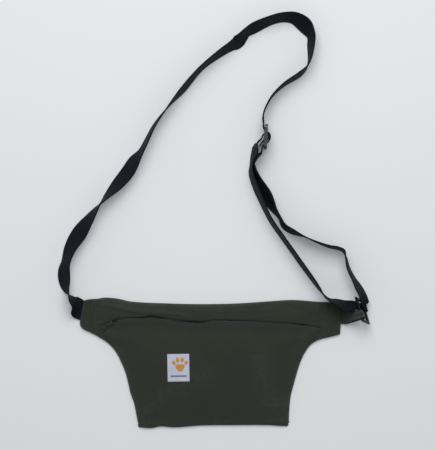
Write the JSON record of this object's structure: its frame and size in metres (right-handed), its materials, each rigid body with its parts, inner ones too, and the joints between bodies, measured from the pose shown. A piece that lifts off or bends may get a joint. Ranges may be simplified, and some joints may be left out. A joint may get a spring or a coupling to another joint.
{
  "type": "treat pouch",
  "caption": "Flat canvas treat pouch with a zipped top, tapered sides and sewn end wings, on a webbing waist strap that runs through a tri-glide and a rectangular side ring.",
  "frame": {"origin": "centre of the back panel's outer face, midway between the two wing seams", "axes": "+X along the zip from the slider's closed end towards the side ring, +Y towards the top seam, +Z out of the front panel"},
  "size_m": [0.3895, 0.5187, 0.0333],
  "materials": {
    "canvas": "plain-weave polyester canvas, dark olive",
    "lining": "thin coated lining, dark grey-green",
    "zip_tape": "woven zip tape, near black",
    "zip_teeth": "moulded nylon teeth, near black",
    "zip_metal": "antique bronze plating, worn brighter at the edges",
    "webbing": "ribbed polyester webbing, blue-black",
    "hardware_plastic": "moulded acetal, black with a satin sheen",
    "label": "woven label, pale grey-lavender"
  },
  "bodies": {
    "pouch": {"back_panel": "canvas", "lining_back": "lining", "front_panel": "canvas", "upper_band": "canvas", "lining_front": "lining", "lining_upper": "lining", "left_wing_back": "canvas", "left_wing_front": "canvas", "right_wing_back": "canvas", "right_wing_front": "canvas", "strap_anchor": "webbing", "zip_teeth_upper": "zip_teeth", "zip_teeth_lower": "zip_teeth", "zip_tape_upper": "zip_tape", "zip_tape_lower": "zip_tape", "zip_top_stop_upper": "zip_metal", "zip_top_stop_lower": "zip_metal", "zip_bottom_stop": "zip_metal", "label": "label", "strap_main": "webbing", "strap_strand_sewn": "webbing", "strap_strand_running": "webbing", "ring_loop": "canvas"},
    "zip_slider": {"slider_body": "zip_metal", "slider_bridge": "zip_metal"},
    "zip_pull": {"pull_tab": "zip_metal"},
    "ring": {"side_ring": "hardware_plastic", "strap_ring_wrap": "webbing"},
    "glide": {"tri_glide": "hardware_plastic", "strap_glide_pass": "webbing", "strap_glide_loop": "webbing"}
  },
  "joints": [
    {"name": "zip_slide", "type": "slide", "parent": "pouch", "child": "zip_slider", "axis": [0.9997, -0.0258, 0], "range_m": [0, 0.244]},
    {"name": "pull_tab_flip", "type": "hinge", "parent": "zip_slider", "child": "zip_pull", "pos_m": [-0.11875, 0.055, 0.0096], "axis": [-0.581, 0.8139, 0], "range_deg": [0, 162]},
    {"name": "ring_swing", "type": "hinge", "parent": "pouch", "child": "ring", "pos_m": [0.18615, 0.06875, 0.0209], "axis": [0.2493, -0.8811, 0.4019], "range_deg": [0, 110], "deforming": ["strap_strand_sewn", "strap_strand_running"]},
    {"name": "glide_slide", "type": "slide", "parent": "pouch", "child": "glide", "axis": [-0.0576, -0.9983, 0], "range_m": [-0.03, 0.01], "deforming": ["strap_main", "strap_strand_sewn", "strap_strand_running"]}
  ]
}
